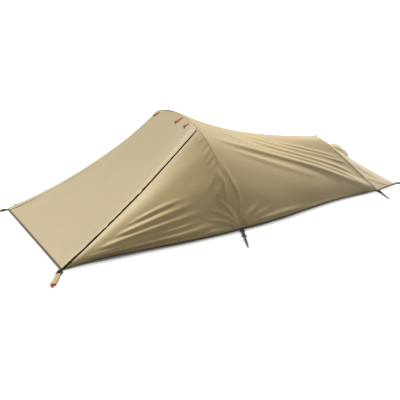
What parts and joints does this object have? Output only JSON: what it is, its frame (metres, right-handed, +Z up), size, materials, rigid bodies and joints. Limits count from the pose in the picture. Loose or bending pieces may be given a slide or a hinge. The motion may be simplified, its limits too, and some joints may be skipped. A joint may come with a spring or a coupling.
{
  "type": "one-person tent",
  "caption": "Low one-person hoop tent with a sloping zipped front door, a net inner wall, a sewn-in floor, a hooded foot vent and strapped corners.",
  "frame": {"origin": "on the ground under the floor, midway between the feet of the main hoop", "axes": "+X along the tent to its foot end, +Y to its far side as pictured, +Z up"},
  "size_m": [3.6724, 1.7339, 0.701],
  "materials": {
    "front_cloth": "proofed nylon, light tan, soft satin",
    "side_cloth": "proofed nylon, tan, soft satin",
    "foot_cloth": "proofed nylon, light tan, soft satin",
    "floor_cloth": "coated groundsheet cloth, dull grey",
    "net": "fine black insect net",
    "pole": "anodised dark grey",
    "ferrule": "plain drawn tube",
    "zip_tape": "dark olive woven tape",
    "zip_slider": "dark enamelled",
    "webbing": "black woven webbing and moulded buckle",
    "strap_tan": "tan woven webbing",
    "cord": "red braided cord",
    "toggle": "dark moulded barrel",
    "peg": "light grey anodised",
    "rim": "light grey binding over a stiffener"
  },
  "bodies": {
    "tent": {"hoop_pole_near": "pole", "hoop_pole_middle": "pole", "hoop_pole_far": "pole", "hoop_ferrule_near": "ferrule", "hoop_ferrule_far": "ferrule", "hoop_sleeve": "side_cloth", "rear_hoop_pole": "pole", "rear_hoop_sleeve": "foot_cloth", "rear_peak_loop": "webbing", "brow_panel": "front_cloth", "gusset_near": "side_cloth", "gusset_far": "side_cloth", "rear_wall_near": "side_cloth", "rear_wall_far": "side_cloth", "foot_panel": "foot_cloth", "vent_net": "net", "vent_hood": "foot_cloth", "vent_rim": "rim", "floor_tray": "floor_cloth", "net_wall": "net", "zip_tape_near": "zip_tape", "zip_tape_far": "zip_tape", "buckle_head_near": "webbing", "buckle_head_far": "webbing", "buckle_middle_near": "webbing", "buckle_middle_far": "webbing", "buckle_foot_near": "webbing", "buckle_foot_far": "webbing", "buckle_tip": "webbing"},
    "door": {"door_panel": "front_cloth", "storm_flap_near": "front_cloth", "storm_flap_far": "front_cloth"},
    "zip_slider_near": {"zip_slider_near": "zip_slider"},
    "zip_pull_near": {"zip_pull_near": "cord"},
    "zip_slider_far": {"zip_slider_far": "zip_slider"},
    "zip_pull_far": {"zip_pull_far": "cord"},
    "tie_loop_far": {"tie_loop_far": "cord"},
    "tie_toggle_far": {"tie_toggle_far": "toggle"},
    "tie_loop_middle": {"tie_loop_middle": "cord"},
    "tie_toggle_middle": {"tie_toggle_middle": "toggle"},
    "tie_loop_near": {"tie_loop_near": "cord"},
    "tie_toggle_near": {"tie_toggle_near": "toggle"},
    "net_door": {"net_door": "net"},
    "strap_head_near": {"strap_head_near": "strap_tan"},
    "cord_loop_head_near": {"cord_loop_head_near": "cord"},
    "strap_head_far": {"strap_head_far": "strap_tan"},
    "peg_head_far": {"peg_head_far": "peg"},
    "strap_middle_near": {"strap_middle_near": "webbing"},
    "peg_middle_near": {"peg_middle_near": "peg"},
    "strap_middle_far": {"strap_middle_far": "webbing"},
    "peg_middle_far": {"peg_middle_far": "peg"},
    "strap_foot_near": {"strap_foot_near": "webbing"},
    "peg_foot_near": {"peg_foot_near": "peg"},
    "strap_foot_far": {"strap_foot_far": "webbing"},
    "peg_foot_far": {"peg_foot_far": "peg"},
    "strap_tip": {"strap_tip": "webbing"},
    "peg_tip": {"peg_tip": "peg"}
  },
  "joints": [
    {"name": "door_lift", "type": "hinge", "parent": "tent", "child": "door", "pos_m": [-0.29896, 0, 0.63289], "axis": [0, 1, 0], "range_deg": [0, 110]},
    {"name": "zip_near", "type": "hinge", "parent": "tent", "child": "zip_slider_near", "pos_m": [-1.42155, -2.72599, 2.74938], "axis": [0.5468, -0.6959, -0.4656], "range_deg": [0, 16.06]},
    {"name": "zip_pull_near", "type": "hinge", "parent": "zip_slider_near", "child": "zip_pull_near", "pos_m": [-1.11242, -0.66773, 0.03813], "axis": [-0.5131, 0.815, 0.2691], "range_deg": [0, 150]},
    {"name": "zip_far", "type": "hinge", "parent": "tent", "child": "zip_slider_far", "pos_m": [-1.42155, 2.72599, 2.74938], "axis": [-0.5468, -0.6959, 0.4656], "range_deg": [0, 16.06]},
    {"name": "zip_pull_far", "type": "hinge", "parent": "zip_slider_far", "child": "zip_pull_far", "pos_m": [-1.11242, 0.66773, 0.03813], "axis": [0.5131, 0.815, -0.2691], "range_deg": [0, 150]},
    {"name": "tie_far", "type": "hinge", "parent": "tent", "child": "tie_loop_far", "pos_m": [-0.25173, 0.11145, 0.68066], "axis": [0.6054, 0.5242, 0.5989], "range_deg": [0, 150]},
    {"name": "toggle_far", "type": "hinge", "parent": "tie_loop_far", "child": "tie_toggle_far", "pos_m": [-0.2692, 0.15567, 0.65961], "axis": [-0.6054, -0.5242, -0.5989], "range_deg": [0, 75]},
    {"name": "tie_middle", "type": "hinge", "parent": "tent", "child": "tie_loop_middle", "pos_m": [-0.24068, -0.20586, 0.66897], "axis": [0.1481, 0.8559, 0.4955], "range_deg": [0, 150]},
    {"name": "toggle_middle", "type": "hinge", "parent": "tie_loop_middle", "child": "tie_toggle_middle", "pos_m": [-0.2793, -0.18365, 0.64215], "axis": [-0.1481, -0.8559, -0.4955], "range_deg": [0, 75]},
    {"name": "tie_near", "type": "hinge", "parent": "tent", "child": "tie_loop_near", "pos_m": [-0.233, -0.28077, 0.63962], "axis": [-0.0834, 0.84, 0.5361], "range_deg": [0, 150]},
    {"name": "toggle_near", "type": "hinge", "parent": "tie_loop_near", "child": "tie_toggle_near", "pos_m": [-0.26337, -0.27261, 0.62211], "axis": [0.0834, -0.84, -0.5361], "range_deg": [0, 75]},
    {"name": "net_door_swing", "type": "hinge", "parent": "tent", "child": "net_door", "pos_m": [-0.54959, 0, 0.10351], "axis": [0, 1, 0], "range_deg": [0, 55]},
    {"name": "strap_head_near_slide", "type": "slide", "parent": "tent", "child": "strap_head_near", "axis": [-0.4311, -0.9023, 0], "range_m": [-0.003, 0.018]},
    {"name": "cord_loop_head_near_swing", "type": "hinge", "parent": "strap_head_near", "child": "cord_loop_head_near", "pos_m": [-1.25018, -0.85283, 0.005], "axis": [-0.9023, 0.4311, 0], "range_deg": [0, 100]},
    {"name": "strap_head_far_slide", "type": "slide", "parent": "tent", "child": "strap_head_far", "axis": [-0.9023, -0.4311, 0], "range_m": [-0.003, 0.018]},
    {"name": "peg_head_far_swing", "type": "hinge", "parent": "strap_head_far", "child": "peg_head_far", "pos_m": [-1.33783, 0.60482, 0.005], "axis": [-0.4311, 0.9023, 0], "range_deg": [0, 100]},
    {"name": "strap_middle_near_slide", "type": "slide", "parent": "tent", "child": "strap_middle_near", "axis": [-0.4592, -0.8884, 0], "range_m": [-0.003, 0.018]},
    {"name": "peg_middle_near_swing", "type": "hinge", "parent": "strap_middle_near", "child": "peg_middle_near", "pos_m": [-0.06933, -0.65914, 0.005], "axis": [-0.8884, 0.4592, 0], "range_deg": [0, 100]},
    {"name": "strap_middle_far_slide", "type": "slide", "parent": "tent", "child": "strap_middle_far", "axis": [-0.4592, 0.8884, 0], "range_m": [-0.003, 0.018]},
    {"name": "peg_middle_far_swing", "type": "hinge", "parent": "strap_middle_far", "child": "peg_middle_far", "pos_m": [-0.06933, 0.65914, 0.005], "axis": [0.8884, 0.4592, 0], "range_deg": [0, 100]},
    {"name": "strap_foot_near_slide", "type": "slide", "parent": "tent", "child": "strap_foot_near", "axis": [-0.4983, -0.867, 0], "range_m": [-0.003, 0.018]},
    {"name": "peg_foot_near_swing", "type": "hinge", "parent": "strap_foot_near", "child": "peg_foot_near", "pos_m": [1.52466, -0.2189, 0.005], "axis": [-0.867, 0.4983, 0], "range_deg": [0, 100]},
    {"name": "strap_foot_far_slide", "type": "slide", "parent": "tent", "child": "strap_foot_far", "axis": [-0.4983, 0.867, 0], "range_m": [-0.003, 0.018]},
    {"name": "peg_foot_far_swing", "type": "hinge", "parent": "strap_foot_far", "child": "peg_foot_far", "pos_m": [1.52466, 0.2189, 0.005], "axis": [0.867, 0.4983, 0], "range_deg": [0, 100]},
    {"name": "strap_tip_slide", "type": "slide", "parent": "tent", "child": "strap_tip", "axis": [0.8, -0.6, 0], "range_m": [-0.003, 0.018]},
    {"name": "peg_tip_swing", "type": "hinge", "parent": "strap_tip", "child": "peg_tip", "pos_m": [1.9788, -0.0516, 0.005], "axis": [-0.6, -0.8, 0], "range_deg": [0, 100]}
  ]
}
